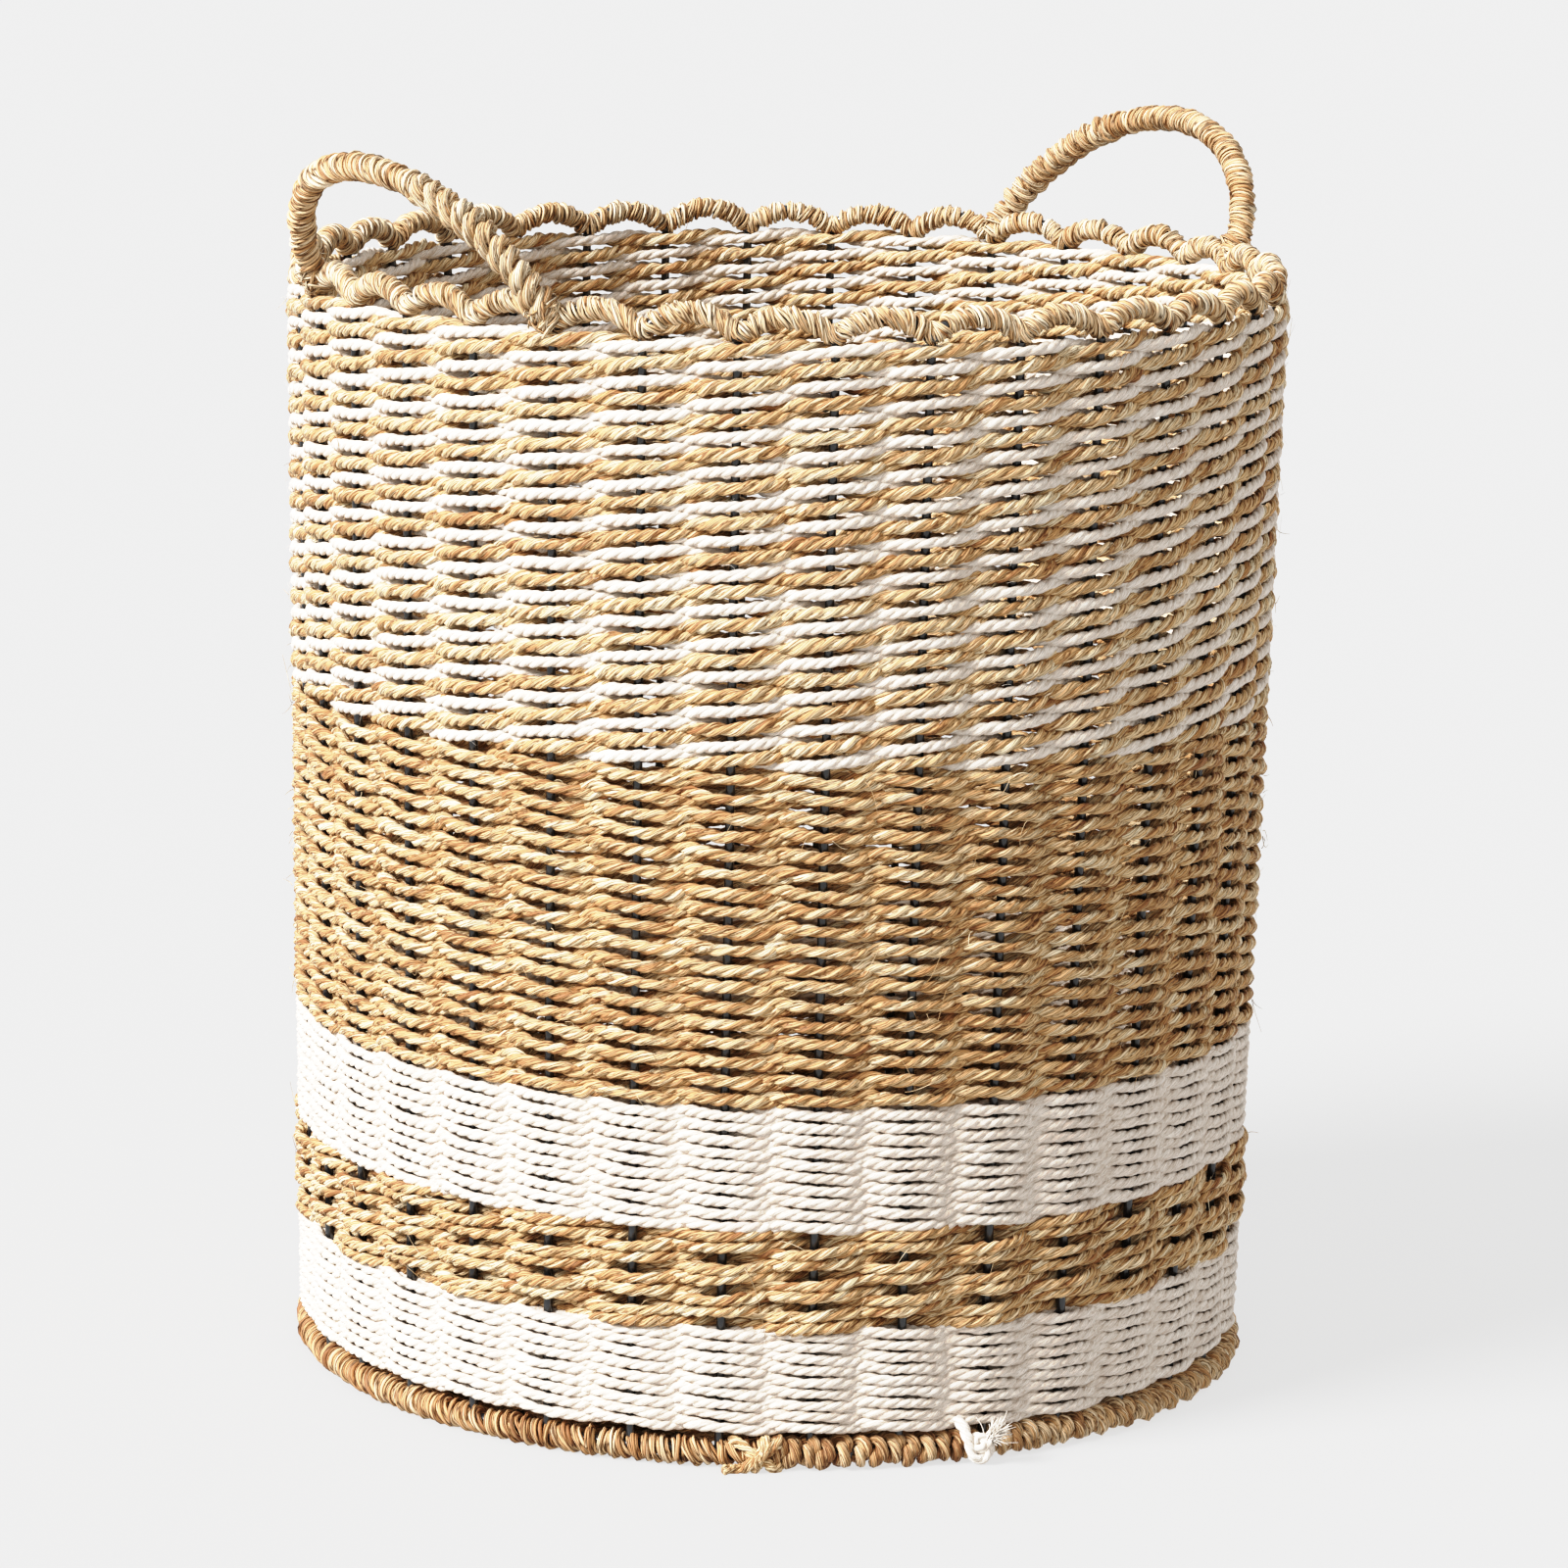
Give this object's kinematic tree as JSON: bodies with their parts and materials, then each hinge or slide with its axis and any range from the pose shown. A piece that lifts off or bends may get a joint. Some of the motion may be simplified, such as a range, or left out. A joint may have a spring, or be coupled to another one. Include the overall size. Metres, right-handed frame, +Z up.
{
  "type": "woven laundry basket",
  "caption": "Tall round open basket of twined cotton and seagrass rope on an upright wire frame, with a scalloped wrapped rim and two raised loop handles, for holding and carrying laundry.",
  "frame": {"origin": "middle of the foot, on the floor that it stands on", "axes": "+Z up; the two handles stand at +X and -X; +Y completes the right-handed frame"},
  "size_m": [0.4564, 0.4118, 0.5088],
  "materials": {
    "black_wire": "satin black powder coat",
    "seagrass": "dry natural plant fibre, matt",
    "cotton_rope": "soft twisted cotton, matt",
    "mixed_rope": "cotton and seagrass rope twined together, matt"
  },
  "bodies": {
    "root": {"stake_01": "black_wire", "stake_02": "black_wire", "stake_03": "black_wire", "stake_04": "black_wire", "stake_05": "black_wire", "stake_06": "black_wire", "stake_07": "black_wire", "stake_08": "black_wire", "stake_09": "black_wire", "stake_10": "black_wire", "stake_11": "black_wire", "stake_12": "black_wire", "stake_13": "black_wire", "stake_14": "black_wire", "stake_15": "black_wire", "stake_16": "black_wire", "stake_17": "black_wire", "stake_18": "black_wire", "stake_19": "black_wire", "stake_20": "black_wire", "stake_21": "black_wire", "stake_22": "black_wire", "stake_23": "black_wire", "stake_24": "black_wire", "stake_25": "black_wire", "stake_26": "black_wire", "stake_27": "black_wire", "stake_28": "black_wire", "stake_29": "black_wire", "stake_30": "black_wire", "stake_31": "black_wire", "stake_32": "black_wire", "stake_33": "black_wire", "stake_34": "black_wire", "rim_wire": "black_wire", "rim_wrap": "seagrass", "foot_hoop": "black_wire", "foot_wrap": "seagrass", "left_handle_wire": "black_wire", "left_handle_wrap": "seagrass", "right_handle_wire": "black_wire", "right_handle_wrap": "seagrass", "base_ring": "black_wire", "base_spokes": "black_wire", "base_weave": "seagrass", "base_centre": "seagrass", "mixed_weave": "mixed_rope", "seagrass_weave": "seagrass", "upper_cotton_weave": "cotton_rope", "thick_seagrass_weave": "seagrass", "lower_cotton_weave": "cotton_rope", "cotton_knot": "cotton_rope", "seagrass_knot": "seagrass"}
  },
  "joints": []
}
